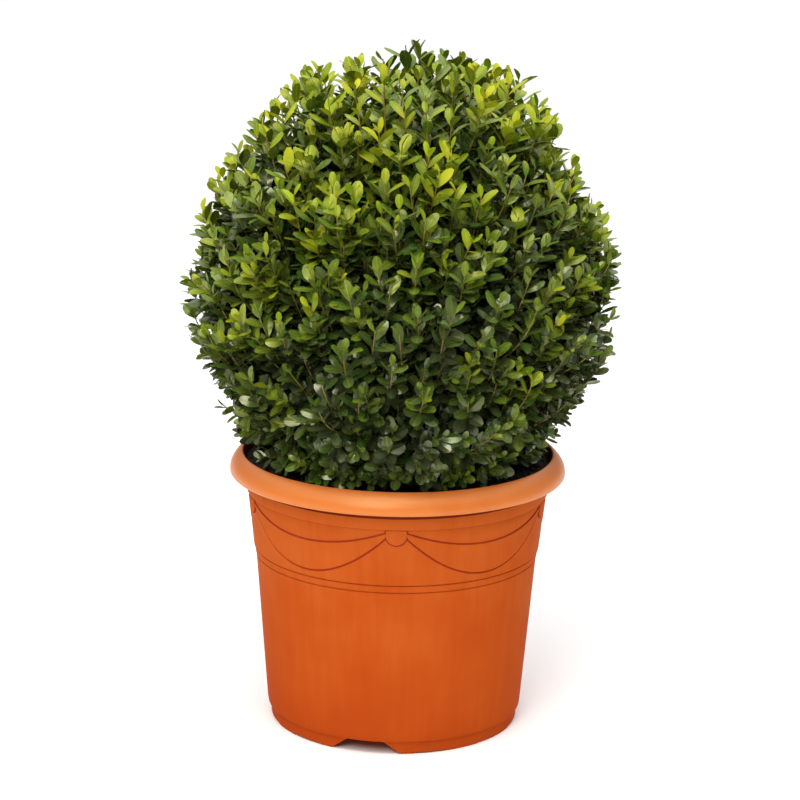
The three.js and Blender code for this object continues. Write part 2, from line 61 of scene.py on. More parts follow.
# Soft lamps: name, place, what it faces, its two sides, power and colour
LAMPS = [
    ("ceiling", (0, 6, 10), (0, 6, 0), (30, 30), 3300, (1.0, 1.0, 1.0)),
    ("key", (-0.62, -2.1, 1.75), PLANT_MIDDLE, (1.0, 1.0), 29, (1.0, 0.98, 0.93)),
    ("top", (-0.2, -0.9, 2.2), PLANT_MIDDLE, (1.6, 0.8), 26, (1.0, 0.97, 0.88)),
    ("fill", (0.9, -0.3, 2.4), PLANT_MIDDLE, (0.8, 0.8), 4, (1.0, 1.0, 1.0)),
]

# Slots of the pot's materials: the wall; painted shade in the deep grooves and round the bosses; the rim;
# painted shade in the fine lines and at the steps of the foot and collar; and the painted shade under the rim
WALL, SHADE, RIM, LINE, UNDER = range(5)
# Their looks: name, colour, roughness, gloss, and how much of the drift in tone runs in streaks. The rim's
# colour, paler than the wall's, is a painted highlight.
POT_LOOKS = [
    ("terracotta_plastic", (180, 77, 25), 0.5, 0.004, 0.2),
    ("groove_shade", (145, 44, 22), 0.5, 0.0, 0.2),
    ("terracotta_rim_painted_highlight", (198, 98, 36), 0.36, 0.5, 0.04),
    ("line_shade", (170, 66, 22), 0.5, 0.0, 0.2),
    ("under_rim_shade", (110, 34, 12), 0.5, 0.0, 0.2),
]
POT_SHEEN = (1.0, 0.9, 0.5, 1.0)
POT_DRIFT = 0.6  # weight of streaks and clouds together in the pot's tone
# Painted light: the pot's tone grows paler and whiter with height
POT_PAINTED_LIGHT_RISE = 1.4  # weight of the height, in metres
# Looks of the leaves' tones, from the darkest to the youngest: name, colour, roughness, gloss, and blue in
# the sheen. The darker tones are old leaves' own colour and also painted shade, low down and deep in the
# ball.
LEAF_LOOKS = [
    ("leaf_shade", (58, 66, 39), 0.22, 0.9, 0.75),
    ("leaf_deep", (68, 84, 36), 0.22, 0.8, 0.7),
    ("leaf_mid", (92, 109, 34), 0.25, 0.6, 0.5),
    ("leaf_young", (121, 134, 28), 0.28, 0.4, 0.4),
    ("leaf_new", (153, 159, 32), 0.32, 0.3, 0.3),
]
# Looks of wood: name, colour, colour of its cracks, and roughness
BARK_LOOK = ("bark", (150, 122, 88), (70, 52, 36), 0.8)
TWIG_LOOKS = [
    ("twig_bark", (150, 102, 56), (88, 58, 34), 0.8),
    ("green_stem", (146, 126, 54), (94, 90, 36), 0.5),
]
COMPOST_COLOUR = (44, 33, 26)
COMPOST_DARK = (20, 14, 11)
COMPOST_PALE = (84, 66, 50)
FLOOR_COLOUR = (0.94, 0.94, 0.94, 1.0)
FLOOR_DRIFT = (0.93, 0.93, 0.93, 1.0)
SMOOTHER = 0.06  # how far the roughness of leaves and pot drifts down
ROUGHER = 0.08  # and up

# Wall of the pot: its plain outer radius by height, in pairs of height and radius. All of the pot is in
# millimetres.
POT_BODY = [(11.6, 106.7), (15.5, 107.3), (128, 116.4), (142.5, 117.6)]
POT_BAND = [(142.5, 118.0), (148.8, 118.5)]
POT_UPPER = [(148.8, 119.4), (165, 121.2), (180, 122.4), (197, 124.3)]
BODY_HEIGHTS = (12.2, 15.5, 30, 60, 95, 128, 138)  # of the rows of points up the body
POT_WALL = 3.0
FLOOR_TOP = 14.0
POT_COLUMNS = 360
SHARP_ANGLE = math.radians(38)

# Foot, with tables of radius and height
FOOT_RADIUS = 104.4
FOOT_LOW = 1.0
FOOT_HIGH = 11.0
FOOT_EDGE_Z = 10.5  # top of the foot's side, and of the notches in it
FLOOR_UNDERSIDE = [(70, FOOT_HIGH), (FOOT_RADIUS - POT_WALL - 1, FOOT_HIGH)]
# The foot's lower edge, with heights above the lowest point of the foot at that angle
FOOT_RING = [(FOOT_RADIUS - POT_WALL - 0.6, 0.0), (FOOT_RADIUS - 0.9, 0.0), (FOOT_RADIUS - 0.4, 0.4)]
# The step over the foot's side is in the fine lines' darker colour: painted shade
FOOT_SIDE = [
    (FOOT_RADIUS, FOOT_EDGE_Z, WALL),
    (FOOT_RADIUS + 0.2, FOOT_HIGH, LINE),
    (106.4, FOOT_HIGH + 0.3, LINE),
]
NOTCH_ANGLES = (-12.7, 107.3, 227.3)
NOTCH_TOP_HALF = 8.2  # half the width of a notch in degrees, at its top
NOTCH_FOOT_HALF = 15.5  # and at its foot
PADS_FROM_NOTCH = ((16.5, 22.5), (39, 55), (65, 81), (97.5, 103.5))
PAD_COLUMNS = 7
PAD_SECTION = [
    (FOOT_RADIUS - POT_WALL, 2.0), (FOOT_RADIUS - POT_WALL, 0.0),
    (FOOT_RADIUS - 0.9, 0.0), (FOOT_RADIUS - 0.7, 2.0),
]

# Grooves and the two fine lines
GROOVE_DEPTH = 0.55
GROOVE_HALF = 0.6
LIP_REACH = 1.6  # from a groove's middle to its lips, as a multiple of its floor's half width
LINE_HEIGHTS = (142.5, 148.8)
LINE_HALF = 0.42
LINE_STEPS = (0.4, 0.9)  # how much further out the wall is above each line
ABOVE_LINES = LINE_HEIGHTS[1] + 1.6
UPPER_ROWS = 5

# Swags and bosses
BOSS_ANGLES = (0, 74, 145, 215, 286)
BOSS_HALF = 3.8  # half the width in degrees
BOSS_LOW = 184.2
BOSS_PROUD = 1.7
BOSS_ROUND = 0.62  # share of a boss's height that its rounded end takes
BOSS_ROUND_POINTS = 15
BOSS_MIDDLE = np.array([0.0, 0.66])  # across, and as a share of its height
# Rings of a boss from its outline, dark with painted shade, to its middle: scale, distance in front of the
# wall, and slot
BOSS_RINGS = [
    (1.16, -0.8, SHADE), (1.14, 0.55, SHADE), (1.0, 0.55, SHADE), (1.0, 1.1, WALL), (0.93, 1.55, WALL),
    (0.8, BOSS_PROUD, WALL), (0.4, BOSS_PROUD + 0.15, WALL), (0.02, BOSS_PROUD + 0.2, WALL),
]
SWAG_EDGE_FROM_BOSS = 4.0  # in degrees
SWAG_HIGH = (194.4, 181)  # upper edge of a swag at its ends and at its middle
SWAG_LOW = (189.2, 155)  # lower edge
SWAG_PROUD = 0.55
SWAG_RADIUS = 119  # about the wall's radius at the swags' lower edges
SWAG_CLEAR = (0.3, 0.2)  # plain wall left below and above a swag's grooves
# A swag's crowned face: the share of the way up it, and how far out as a multiple of SWAG_PROUD
SWAG_CROWN = [(0.25, 0.95), (0.5, 1.1), (0.75, 1.0)]

# Collar and rim, with tables of radius and height
COLLAR_Z = 197.0
COLLAR_RADII = (125.4, 127.0)
TOP_GROOVE_LIMIT = COLLAR_Z - 0.7  # a swag's upper groove stays under this
TOP_WALL = (COLLAR_Z - 0.6, COLLAR_Z - 0.5)  # the plain wall over it starts by the first, to the other
TOP_WALL_ROWS = 3
# From here up to the rim the wall is in under_rim_shade: the rim's painted shadow
RIM_SHADE_Z = 206.7  # the wall is darker from here up to the rim
# The collar's step is in the fine lines' darker colour: painted shade
COLLAR = [
    (POT_UPPER[-1][1] - 0.1, COLLAR_Z - 0.4, LINE),
    (COLLAR_RADII[0], COLLAR_Z + 0.2, LINE),
    (COLLAR_RADII[0] + 0.1, COLLAR_Z + 0.4, WALL),
    (COLLAR_RADII[1] - 0.2, RIM_SHADE_Z - 0.5, WALL),
    (COLLAR_RADII[1] - 0.1, RIM_SHADE_Z, UNDER),
]
# The rim's underside is in under_rim_shade: painted shade
RIM_UNDER = [(127.4, 215), (128.2, 221.9), (131, 223.6), (135.2, 221.6), (136.9, 217.4), (137.5, 213.8)]
RIM_OUTSIDE = [
    (138.2, 212.6), (139.1, 212.5), (139.7, 213.4), (139.9, 215), (139.5, 217.8), (138.3, 221),
    (136.4, 223.9), (134.3, 226.4), (132.4, 228.2), (130.9, 229.4), (129.9, 229.9), (129.1, 229.7),
    (128.6, 228.6),
]
INSIDE = [  # the pot's inner wall and floor
    (128.1, 222), (126, 209), (124.2, 197), (114.6, 142), (103.8, 18), (101, FLOOR_TOP), (60, FLOOR_TOP),
]

# Compost
SOIL_Z = 222 * MM
SOIL_RADIUS = 127.6 * MM
SOIL_PLUG = [(103.2, FLOOR_TOP + 0.3), (114.0, 142), (123.6, 197), (127.2, 218)]  # in millimetres
SOIL_RINGS = np.linspace(SOIL_RADIUS - 1 * MM, 2 * MM, 34)
SOIL_COLUMNS = 120
SOIL_RELIEF = [(1.6 * MM, 60), (0.9 * MM, 260)]  # height of the humps, and how fine they are
GRANULES = 900
GRANULE_SIZES = (1.2, 3.2)  # in millimetres
GRANULE_SQUASH = (0.6, 1.3)  # how far each corner of a granule lies out, as a share of the granule's size
GRANULE_SPOTS = (0.1, 1)  # squares of the shares of the compost's radius where they lie
GRANULE_LIFT = 0.6 * MM
GRANULES_FROM_EDGE = 5 * MM

# Limbs, as in the solids
STEEP = 0.9  # cosine of the angle from straight up within which a limb counts as upright
LIMB_GAP = 0.3 * MM  # between the end of a limb and the one that goes on from it
TRUNK_FOOT_Z = 224 * MM
FORK_Z = 266 * MM
TRUNK_FOOT_RADIUS = 15 * MM
TRUNK_RADIUS = 8.6 * MM
TRUNK_FLARE = 4  # the power by which the foot's flare dies away
TRUNK_LEAN = np.array([2.5, -1.5, 0.0]) * MM
TRUNK_ROWS = 40
TRUNK_SIDES = 40
LEADER_MIDDLE = np.array([5, -3, 342]) * MM
LEADER_TIP = np.array([-1.5, 2, 406]) * MM
LEADER_UPRIGHT = (14 * MM, 16 * MM)  # how far it runs straight up at its foot and at its tip
LEADER_STEPS = 9
SIDES = ("front", "front_right", "back_right", "back_left", "front_left")
SECTOR = 360 / len(SIDES)
# Boughs, with heights in millimetres
BOUGH_ROOT_Z = (232, 240, 248, 236, 244)
BOUGH_ROOT_LEAN = 0.6  # share of the trunk's lean where the boughs leave it
BOUGH_BEND_RADIUS = 28 * MM
BOUGH_BEND_RISE = 34
BOUGH_TIP_RADIUS = 56 * MM
BOUGH_TIP_Z = 322
BOUGH_TIP_DRIFTS = ((9, 1.7), (4, 2.4))  # how the tips' heights and angles vary: by how much, and how fast
BOUGH_RADII = (5.4 * MM, 3.8 * MM)
BOUGH_STEPS = 24
BOUGH_SIDES = 24
# Relief of the bark: heights as shares of the limb's radius, then how fine the ridges and the grain are
BARK_RIDGE = 0.12
BARK_GRAIN = 0.05
RIDGE_ACROSS = 0.9
RIDGE_ALONG = 110
RIDGE_FINENESS = 0.6
GRAIN_FINENESS = 1400

# Ball: the surface that the tips of its shoots reach
BALL_MIDDLE = np.array([2, 0, 369]) * MM
BALL_RADIUS = 175.5 * MM
BALL_HEIGHT = 175 * MM
BALL_DEPTH = 182 * MM
BALL_SWELL = 0.055  # how far the surface swells and dips, as a share of its radius for each unit of noise
SWELL_FINENESS = 2.6
SWELL_START = Vector((4.0, 1.0, 7.0))
# Low on its right the ball is clipped closer: the direction from its middle, the share of the radius taken
# off there, and how wide that place is
CLOSE_CLIP = np.array([0.9, -0.11, -0.42])
CLOSE_CLIP_DEPTH = 0.065
CLOSE_CLIP_WIDTH = 0.035
# The mass on top is the part of the ball inside a cone
CAP_APEX_Z = 250 * MM
CAP_HALF_ANGLE = math.radians(27)

# Stems and forks that carry the shoots, inside the ball
STEM_LENGTH = 30 * MM
STEM_SHARES = (0, 0.4, 0.8, 1.15)
STEM_RADII = np.array([3.6, 3.2, 2.6, 0.6]) * MM
STEM_SIDES = 8
LIMB_START = (0.3, 1.0)  # share of the stem's length where a limb leaves it
LIMB_RADII = (2.3, 1.3)  # in millimetres, as for twigs and shoots
LIMB_SIDES = 6
LIMB_STEPS = 7
LIMB_BEND = 0.35  # share of its reach that a limb first runs on along the stem
TWIG_RADII = (1.25, 0.95)
TWIG_STEPS = 5
TWIG_BEND = 0.4  # share of its reach over which a twig turns into its shoot
SHOOT_RADII = (1.05, 0.45)
SHOOT_SIDES = 4
WOODY_FACES = 12  # faces at a shoot's foot that are bark, before it turns green
FORKS = 96
FORK_LEVELS = (0.96, -0.8)
FORK_SHARE = 0.56  # share of the way from the ball's middle to its surface
FORK_SPREAD = (0.92, 1.08)
FORK_OVER_SOIL = 14 * MM

# Shoots. A level is the cosine of the angle from straight up.
OUTER_SHOOTS = 680
INNER_SHOOTS = 980
OUTER_TOP = 0.992  # level of the highest outer shoots
INNER_TOP = 0.97
SCATTER = 0.05
OUTER_DEPTH = 0.08  # how deep the outer shoots may end, as a share of the ball's radius
OUTER_DEPTH_POWER = 1.6  # above 1, more of them end near the surface
INNER_DEPTH = (0.09, 0.22)
LOWEST_TIP_Z = 230 * MM
# How far the crown has outgrown the clipping, in millimetres by level, and the share of that on inner shoots
CROWN_GROWTH = [(0.6, 0), (0.66, 4), (0.72, 8), (0.79, 15), (0.85, 22), (0.95, 15), (1.0, 10)]
INNER_GROWTH = 0.5
RAISED_SHARE = 0.35  # share of the crown's shoots that have outgrown it further
RAISED_BY = (2 * MM, 9 * MM)
RAISED_LEVEL = 0.78
# How much lighter than usual the leaves are on outer shoots in flush, on inner shoots and on low ones. The
# darker leaves of inner shoots are painted shade deep in the ball, the lighter ones of low shoots painted
# light.
FLUSH = 0.3
FLUSH_SHARE = 0.2
INNER_PAINTED_SHADE = -0.3
LOW_PAINTED_LIGHT = 0.12
UPWARD = [(-1, 0.25), (-0.55, 0.5), (-0.2, 0.85), (0.1, 1), (1, 1.1)]  # how much a shoot leans up, by level
SHOOT_LEAN = (1.1, 2.3)  # lean of its upper end, times that
SHOOT_SCATTER = 0.2
FOOT_LEAN = 0.3  # lean of its foot
FOOT_SCATTER = 0.25
SHOOT_LENGTH = 78 * MM
LENGTH_SPREAD = (0.85, 1.15)
SHOOT_STEPS = 9
ABOVE_BEND = 0.55  # share of its length from its tip to its bend
BELOW_BEND = 0.5  # and from its bend to its foot
SHOOT_OVER_SOIL = 8 * MM
LOW_SHOOTS = 160  # short shoots over the compost, round the foot of the ball
LOW_TIP_RADII = (94 * MM, 122 * MM)
LOW_TIP_HEIGHTS = (228 * MM, 262 * MM)
LOW_FOOT_RADIUS = 56 * MM
LOW_FOOT_SCATTER = 8  # in degrees
LOW_OVER_SOIL = 10 * MM
LOW_ROOM = 8 * MM  # how much further outside the ball their leaves may end
LOW_BEND = (0.3, 0.7)  # shares of the foot and of the tip in the place of the bend
LOW_BEND_RISE = 0.3  # height of the bend, as a share of the tip's height over the compost
LOW_BEND_LIFT = 5 * MM  # and how much higher than that

# Leaves
LEAF_PAIRS = 7
LOW_EXTRA_PAIRS = 2  # how many more pairs of leaves the lowest shoots have
LEAF_LENGTH = 18.8 * MM
# Outline of a leaf: share of its length, and width there as a share of its widest
LEAF_STATIONS = ((0.0, 0.1), (0.2, 0.6), (0.49, 1.0), (0.81, 0.84), (1.0, 0.34))
RIB_HALF = 0.055  # share of the leaf's half width
BEND_SHORTENS = 0.3  # how much shorter a leaf is for its bend
# Tables by height, from 0 at the lowest shoots to 1 at the top: the size of a leaf, and its width as a share
# of its length. Low leaves are smaller and rounder.
TABLE_SPAN = 2 * BALL_HEIGHT - 60 * MM
LEAF_SIZE = [(0, 0.78), (0.45, 0.94), (0.8, 1.05), (1, 1.05)]
LEAF_ROUNDNESS = [(0, 0.58), (0.5, 0.54), (1, 0.5)]
# Tone of a shoot's oldest leaves, and how much lighter its youngest are, by height. The oldest tone's rise
# up the ball is painted light and shade: lighter on top, darker low down.
OLDEST_TONE = [(0, -0.34), (0.8, 0.04), (0.9, 0.15), (1, 0.3)]
TONE_GAIN = [(0, 0.62), (0.8, 0.7), (1, 0.6)]
YOUTH_POWER = 1.5  # above 1, a shoot lightens mostly near its tip
DRIFT_GAIN = 0.4  # drift in tone from one place on the ball to another
DRIFT_FINENESS = 14
CHANCE_GAIN = 0.2
TONE_STEPS = (0.1, 0.38, 0.68, 0.94)  # where one tone ends and the next one starts
# Where pairs stand on a shoot, as shares of its length
FIRST_PAIR = 0.2
LAST_PAIR = 0.985
PAIR_SCATTER = 0.02
# Angle in degrees between a leaf and its shoot: at the shoot's foot, how much less at its tip, and how much
# less again for the last pair
LEAF_OPENING = 52
TIP_CLOSING = 22
LAST_CLOSING = 10
OPENING_SCATTER = 0.16
TURN_SCATTER = 0.2
# How a leaf's face turns towards the light, and how much of that is chance
TO_LIGHT = 0.45
FACE_SCATTER = 0.2
# Sizes of leaves: from shoot to shoot, of the oldest on a shoot, how they grow and shrink again towards its
# tip, and of the last pair
SIZE_SPREAD = (0.86, 1.1)
OLDEST_SIZE = 0.82
SIZE_GAIN = 0.5
SIZE_PEAK = 1.2
LAST_SIZE = 0.6
# From leaf to leaf
LENGTHS = (0.9, 1.12)
WIDTHS = (0.88, 1.1)
FOLDS = (-0.4, 0.38)
BENDS = (0.04, 0.34)
LEAF_STALK = 0.5 * MM  # from the middle of its shoot to a leaf's foot
# Where a leaf may end: outside the ball by this much, over the compost, and over the rim or inside it
MOST_OUTSIDE = 7 * MM
LEAF_OVER_SOIL = 2 * MM
OVER_RIM_Z = 232 * MM
INSIDE_RIM_RADIUS = 124 * MM


# Helpers

def place(piece, slot, *nodes):
    """A piece that rides on the body, in place of its solids. Its slot is not used."""
    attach(piece, "root")
    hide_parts(*nodes)


def unit(v):
    return v / np.linalg.norm(v)


def around(angle, radius, z):
    """The point at an angle in degrees from the front, a radius and a height."""
    turn = math.radians(angle)
    return np.array([radius * math.sin(turn), -radius * math.cos(turn), z])


def degrees_between(a, b):
    return (a - b + 180) % 360 - 180


def interpolated(table, at):
    """The value of a table of (position, value) pairs at a position."""
    positions, values = zip(*table)
    return float(np.interp(at, positions, values))


def joined(name, points, faces, slots, materials):
    """One smooth object from an array of points and one of four-cornered faces, with their material slots."""
    mesh = bpy.data.meshes.new(name)
    mesh.vertices.add(len(points))
    mesh.vertices.foreach_set("co", np.asarray(points, dtype=np.float32).ravel())
    mesh.loops.add(faces.size)
    mesh.loops.foreach_set("vertex_index", faces.astype(np.int32).ravel())
    mesh.polygons.add(len(faces))
    mesh.polygons.foreach_set("loop_start", np.arange(0, faces.size, 4, dtype=np.int32))
    mesh.polygons.foreach_set("material_index", np.asarray(slots, dtype=np.int32))
    mesh.polygons.foreach_set("use_smooth", np.ones(len(faces), dtype=bool))
    for material in materials:
        mesh.materials.append(material)
    mesh.update(calc_edges=True)
    mesh.validate()
    piece = bpy.data.objects.new(name, mesh)
    bpy.context.scene.collection.objects.link(piece)
    return piece


class Bundle:
    """Points, faces and slots of many shapes that are joined into one piece."""

    def __init__(self):
        self.points = []
        self.faces = []
        self.slots = []
        self.count = 0

    def take(self, points, faces, slots):
        """Adds a shape, whose faces count its points from 0."""
        self.points.append(points)
        self.faces.append(faces + self.count)
        self.slots.append(np.broadcast_to(slots, len(faces)))
        self.count += len(points)

    def piece(self, name, materials):
        arrays = [np.concatenate(part) for part in (self.points, self.faces, self.slots)]
        return joined(name, *arrays, materials)


def grid_faces(rows, columns):
    """Faces between rows of points, each row a closed ring."""
    i = np.arange(rows - 1)[:, None]
    j = np.arange(columns)[None, :]
    after = (j + 1) % columns
    corners = [i * columns + j, i * columns + after, (i + 1) * columns + after, (i + 1) * columns + j]
    return np.stack(corners, axis=-1).reshape(-1, 4)


def closed_ends(points, rings, columns):
    """The points, with one more in the middle of the first ring and of the last, and the faces that close
    both rings. Each face spans two sides of its ring and the middle."""
    ends = []
    faces = []
    for k, ring in enumerate((0, rings - 1)):
        first = ring * columns
        middle = len(points) + k
        ends.append(points[first:first + columns].mean(axis=0))
        for j in range(0, columns, 2):
            corners = [first + j, first + j + 1, first + (j + 2) % columns, middle]
            faces.append(corners[::-1] if k == 0 else corners)
    return np.vstack([points, ends]), np.array(faces)


# Materials

def colour(red, green, blue):
    """A linear colour with alpha from the 0 to 255 values that a screen shows."""
    def linear(value):
        value /= 255
        return value / 12.92 if value <= 0.04045 else ((value + 0.055) / 1.055) ** 2.4
    return (linear(red), linear(green), linear(blue), 1.0)


def shade(base, red, green, blue):
    """A colour with its parts multiplied."""
    return (base[0] * red, base[1] * green, base[2] * blue, 1.0)


def principled(name, base, roughness, **values):
    """A material, its nodes, and its shader with plain values set on it."""
    material = bpy.data.materials.new(name)
    material.use_nodes = True
    shader = material.node_tree.nodes["Principled BSDF"]
    shader.inputs["Base Color"].default_value = base
    shader.inputs["Roughness"].default_value = roughness
    for key, value in values.items():
        shader.inputs[key.replace("_", " ")].default_value = value
    return material, material.node_tree, shader


def add(tree, kind, **values):
    """A new node, with values for its properties or its inputs."""
    node = tree.nodes.new(kind)
    for key, value in values.items():
        if hasattr(node, key):
            setattr(node, key, value)
        else:
            node.inputs[key.replace("_", " ")].default_value = value
    return node


def object_coordinates(tree, along=1):
    """Object coordinates, with those in z scaled."""
    coordinates = add(tree, "ShaderNodeTexCoord")
    mapping = add(tree, "ShaderNodeMapping")
    mapping.inputs["Scale"].default_value = (1, 1, along)
    tree.links.new(coordinates.outputs["Object"], mapping.inputs["Vector"])
    return mapping.outputs["Vector"]


def noise_value(tree, vector, scale, detail):
    pattern = add(tree, "ShaderNodeTexNoise", Scale=scale, Detail=detail)
    tree.links.new(vector, pattern.inputs["Vector"])
    return pattern.outputs["Fac"]


def weighted_sum(tree, parts):
    """The sum of values, each times its weight."""
    total = None
    for value, weight in parts:
        step = add(tree, "ShaderNodeMath", operation="MULTIPLY_ADD")
        tree.links.new(value, step.inputs[0])
        step.inputs[1].default_value = weight
        step.inputs[2].default_value = 0.0
        if total:
            tree.links.new(total, step.inputs[2])
        total = step.outputs["Value"]
    return total


def tinted(tree, shader, value, stops):
    """The shader's colour, from a ramp of (position, colour) stops that a value drives."""
    ramp = add(tree, "ShaderNodeValToRGB")
    elements = ramp.color_ramp.elements
    while len(elements) < len(stops):
        elements.new(0.5)
    for element, (position, tone) in zip(elements, stops):
        element.position = position
        element.color = tone
    tree.links.new(value, ramp.inputs["Fac"])
    tree.links.new(ramp.outputs["Color"], shader.inputs["Base Color"])


def roughened(tree, shader, value, roughness):
    """Roughness that drifts a little with a value."""
    drift = add(tree, "ShaderNodeMapRange")
    drift.inputs["To Min"].default_value = roughness - SMOOTHER
    drift.inputs["To Max"].default_value = roughness + ROUGHER
    tree.links.new(value, drift.inputs["Value"])
    tree.links.new(drift.outputs["Result"], shader.inputs["Roughness"])


def bumped(tree, shader, value, strength, distance):
    bump = add(tree, "ShaderNodeBump", Strength=strength, Distance=distance)
    tree.links.new(value, bump.inputs["Height"])
    tree.links.new(bump.outputs["Normal"], shader.inputs["Normal"])


def leaf_material(name, tone, roughness, gloss, sheen_blue):
    """A smooth leaf whose tone drifts from greener to yellower from leaf to leaf, with fine unevenness in its
    gloss."""
    base = colour(*tone)
    material, tree, shader = principled(name, base, roughness, Specular_IOR_Level=gloss)
    shader.inputs["Specular Tint"].default_value = (1.0, 1.0, sheen_blue, 1.0)
    coordinates = object_coordinates(tree)
    drift = noise_value(tree, coordinates, scale=55, detail=2)
    fine = noise_value(tree, coordinates, scale=420, detail=2)
    stops = [(0.32, shade(base, 0.6, 0.84, 0.75)), (0.5, base), (0.68, shade(base, 1.28, 1.16, 1.2))]
    tinted(tree, shader, drift, stops)
    roughened(tree, shader, fine, roughness)
    bumped(tree, shader, fine, strength=0.12, distance=0.0004)
    return material


def bark_material(name, tone, crack_tone, roughness):
    """Wood with a grain that runs up it, dark in the cracks."""
    light = colour(*tone)
    material, tree, shader = principled(name, light, roughness)
    grain = noise_value(tree, object_coordinates(tree, along=0.25), scale=320, detail=5)
    tinted(tree, shader, grain, [(0.3, colour(*crack_tone)), (0.62, light)])
    bumped(tree, shader, grain, strength=0.5, distance=0.0008)
    return material


def pot_material(name, tone, roughness, gloss, streakiness):
    """Terracotta-coloured plastic with faint clouds and streaks down the wall, a fine moulded skin and a warm
    sheen, with painted light: paler and whiter higher up."""
    base = colour(*tone)
    material, tree, shader = principled(name, base, roughness, IOR=1.6, Specular_IOR_Level=gloss)
    shader.inputs["Specular Tint"].default_value = POT_SHEEN
    coordinates = object_coordinates(tree)
    streaks = noise_value(tree, object_coordinates(tree, along=0.05), scale=170, detail=3)
    clouds = noise_value(tree, coordinates, scale=16, detail=3)
    skin = noise_value(tree, coordinates, scale=900, detail=2)
    split = add(tree, "ShaderNodeSeparateXYZ")
    tree.links.new(coordinates, split.inputs["Vector"])
    # Streaks and clouds are the plastic's own mottling; the height adds painted light, paler and whiter up
    # high
    parts = [(streaks, streakiness), (clouds, POT_DRIFT - streakiness), (split.outputs["Z"], POT_PAINTED_LIGHT_RISE)]
    stops = [(0.3, shade(base, 0.92, 0.8, 0.8)), (0.44, base), (0.58, shade(base, 1.1, 1.32, 1.7))]
    tinted(tree, shader, weighted_sum(tree, parts), stops)
    roughened(tree, shader, streaks, roughness)
    bumped(tree, shader, skin, strength=0.06, distance=0.0003)
    return material


def compost_material():
    base = colour(*COMPOST_COLOUR)
    material, tree, shader = principled("compost", base, 0.95)
    grains = noise_value(tree, object_coordinates(tree), scale=380, detail=6)
    tinted(tree, shader, grains, [(0.32, colour(*COMPOST_DARK)), (0.6, base), (0.78, colour(*COMPOST_PALE))])
    bumped(tree, shader, grains, strength=0.8, distance=0.0015)
    return material


def floor_material():
    material, tree, shader = principled("pale_floor", FLOOR_COLOUR, 0.7)
    drift = noise_value(tree, object_coordinates(tree), scale=3, detail=2)
    tinted(tree, shader, drift, [(0.3, FLOOR_DRIFT), (0.7, FLOOR_COLOUR)])
    return material


# Pot

def swag_edges(angle):
    """Heights of a swag's upper and lower edges at an angle round the pot, and the slope of the lower one."""
    spans = zip(BOSS_ANGLES, (*BOSS_ANGLES[1:], BOSS_ANGLES[0] + 360))
    start, end = next(span for span in spans if (angle - span[0]) % 360 <= span[1] - span[0])
    middle = (end - start) / 2
    half = middle - SWAG_EDGE_FROM_BOSS
    share = min(1.0, abs(((angle - start) % 360 - middle) / half))
    sag = 1 - share ** 2
    drop = SWAG_LOW[0] - SWAG_LOW[1]
    slope = 2 * drop * share / (math.radians(half) * SWAG_RADIUS)
    return SWAG_HIGH[0] - sag * (SWAG_HIGH[0] - SWAG_HIGH[1]), SWAG_LOW[0] - sag * drop, slope


def foot_height(angle):
    """Height of the foot's lower edge, which rises over a notch."""
    off = min(abs(degrees_between(angle, at)) for at in NOTCH_ANGLES)
    share = (NOTCH_FOOT_HALF - off) / (NOTCH_FOOT_HALF - NOTCH_TOP_HALF)
    return FOOT_LOW + (FOOT_EDGE_Z - FOOT_LOW) * min(1.0, max(0.0, share))


def groove(z, radius, half, step, slot):
    """A narrow groove: its lips and its floor, as (radius, z, slot), with the wall above it stepped out."""
    # The floor takes the given slot, a darker colour: painted shade in the groove
    return [
        (radius, z - LIP_REACH * half, WALL),
        (radius - GROOVE_DEPTH, z - half, slot),
        (radius - GROOVE_DEPTH + 0.5 * step, z + half, slot),
        (radius + step, z + LIP_REACH * half, WALL),
    ]


def pot_section(angle):
    """The pot's section at an angle, as (radius, z, slot) from under the floor, up the outside and down the
    inside."""
    def wall(table, heights):
        return [(interpolated(table, z), z, WALL) for z in heights]

    high, low, slope = swag_edges(angle)
    foot = foot_height(angle)
    steep = math.hypot(1, slope)
    under_swag = low - LIP_REACH * GROOVE_HALF * steep - SWAG_CLEAR[0]
    rows = [(radius, z, WALL) for radius, z in FLOOR_UNDERSIDE]
    rows += [(radius, foot + up, WALL) for radius, up in FOOT_RING]
    rows += FOOT_SIDE
    rows += wall(POT_BODY, BODY_HEIGHTS)
    for z, table, step in zip(LINE_HEIGHTS, (POT_BODY, POT_BAND), LINE_STEPS):
        rows += groove(z, interpolated(table, z), LINE_HALF, step, LINE)
    rows += wall(POT_UPPER, np.linspace(ABOVE_LINES, under_swag, UPPER_ROWS))
    rows += groove(low, interpolated(POT_UPPER, low), GROOVE_HALF * steep, SWAG_PROUD, SHADE)
    for share, out in SWAG_CROWN:
        z = low + share * (high - low)
        rows.append((interpolated(POT_UPPER, z) + SWAG_PROUD * out, z, WALL))
    top = groove(high, interpolated(POT_UPPER, high) + SWAG_PROUD, GROOVE_HALF, -SWAG_PROUD, SHADE)
    rows += [(radius, min(z, TOP_GROOVE_LIMIT), slot) for radius, z, slot in top]
    start = min(high + LIP_REACH * GROOVE_HALF + SWAG_CLEAR[1], TOP_WALL[0])
    rows += wall(POT_UPPER, np.linspace(start, TOP_WALL[1], TOP_WALL_ROWS))
    rows += COLLAR
    for table, slot in ((RIM_UNDER, UNDER), (RIM_OUTSIDE, RIM), (INSIDE, WALL)):
        rows += [(radius, z, slot) for radius, z in table]
    return rows


